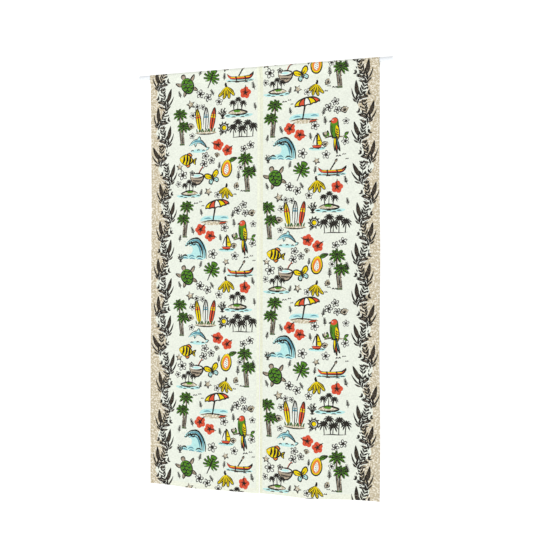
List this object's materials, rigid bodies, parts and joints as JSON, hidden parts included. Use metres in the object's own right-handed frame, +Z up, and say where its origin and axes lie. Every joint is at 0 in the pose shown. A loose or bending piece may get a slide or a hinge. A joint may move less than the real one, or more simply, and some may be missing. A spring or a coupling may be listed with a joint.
{
  "type": "noren curtain on a rod",
  "caption": "Split doorway curtain in printed cotton cloth, hanging by sewn pockets from a plain round white rod",
  "frame": {"origin": "middle of the rod's axis", "axes": "+Z up, +X along the rod to the right as seen from the printed face, printed face looks towards -Y"},
  "size_m": [0.94, 0.0267, 1.506],
  "materials": {
    "cloth": "matt plain-weave cotton, off-white with a faint green cast, printed on the face and only faintly marked on the back",
    "rod_enamel": "smooth white stove enamel on steel tube, half gloss"
  },
  "bodies": {
    "root": {"panel_left": "cloth", "panel_right": "cloth", "rod": "rod_enamel"}
  },
  "joints": []
}
